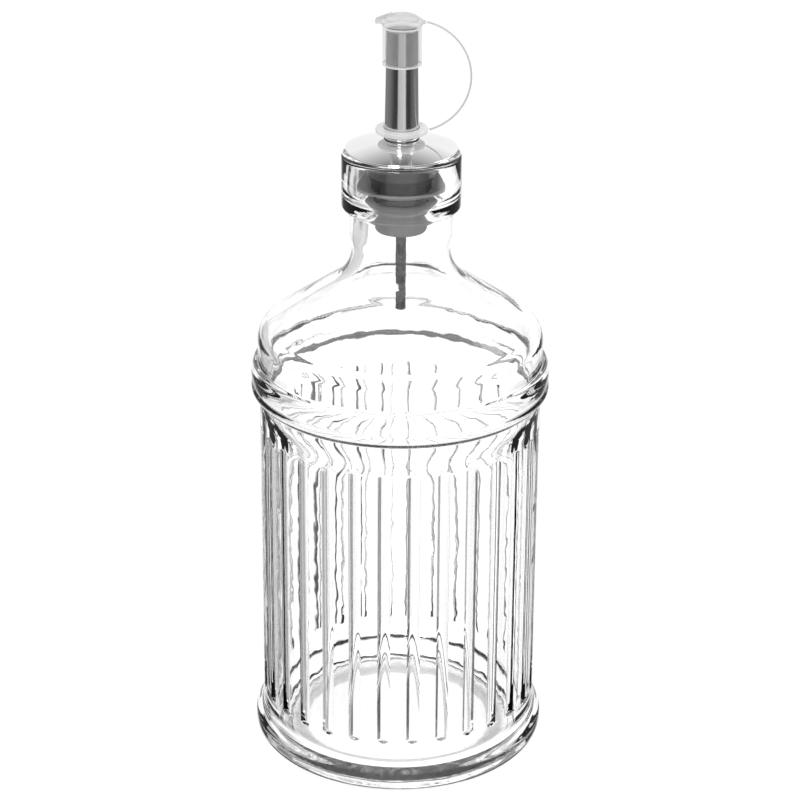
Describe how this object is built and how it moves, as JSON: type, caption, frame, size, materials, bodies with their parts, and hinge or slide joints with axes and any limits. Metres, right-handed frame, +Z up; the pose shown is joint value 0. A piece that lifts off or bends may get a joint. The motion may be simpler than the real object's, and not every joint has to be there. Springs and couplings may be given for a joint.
{
  "type": "oil cruet",
  "caption": "Fluted glass oil bottle with a double bead round its shoulder and a push-in pouring stopper: domed steel disc, steel spout, and a silicone cap on a strap.",
  "frame": {"origin": "centre of the bottle's foot, on the surface that it stands on", "axes": "+Z up along the bottle's axis, +X towards the cap's strap, -Y towards the viewer of the picture"},
  "size_m": [0.0846, 0.0846, 0.2187],
  "materials": {
    "clear_glass": "pressed and fire-polished, clear",
    "dark_plastic": "moulded, glossy",
    "grey_rubber": "satin",
    "polished_steel": "mirror-polished stainless steel",
    "vent_plastic": "drawn tube, dull",
    "clear_silicone": "milky, see-through silicone"
  },
  "bodies": {
    "glass": {"bottle": "clear_glass"},
    "stopper": {"stopper_core": "dark_plastic", "upper_seal_ring": "grey_rubber", "lower_seal_plug": "grey_rubber", "cover_disc": "polished_steel", "spout_tube": "polished_steel", "vent_tube": "vent_plastic"},
    "leash": {"strap_ring": "clear_silicone", "cap_strap": "clear_silicone"},
    "cap": {"spout_cap": "clear_silicone"}
  },
  "joints": [
    {"name": "stopper_lift", "type": "slide", "parent": "glass", "child": "stopper", "axis": [0, 0, 1], "range_m": [0, 0.05]},
    {"name": "ring_turn", "type": "hinge", "parent": "stopper", "child": "leash", "pos_m": [0, 0, 0.1861], "axis": [0, 0, 1], "continuous": true},
    {"name": "cap_pull", "type": "slide", "parent": "leash", "child": "cap", "axis": [0, 0, 1], "range_m": [0, 0.011], "deforming": ["cap_strap"]}
  ]
}
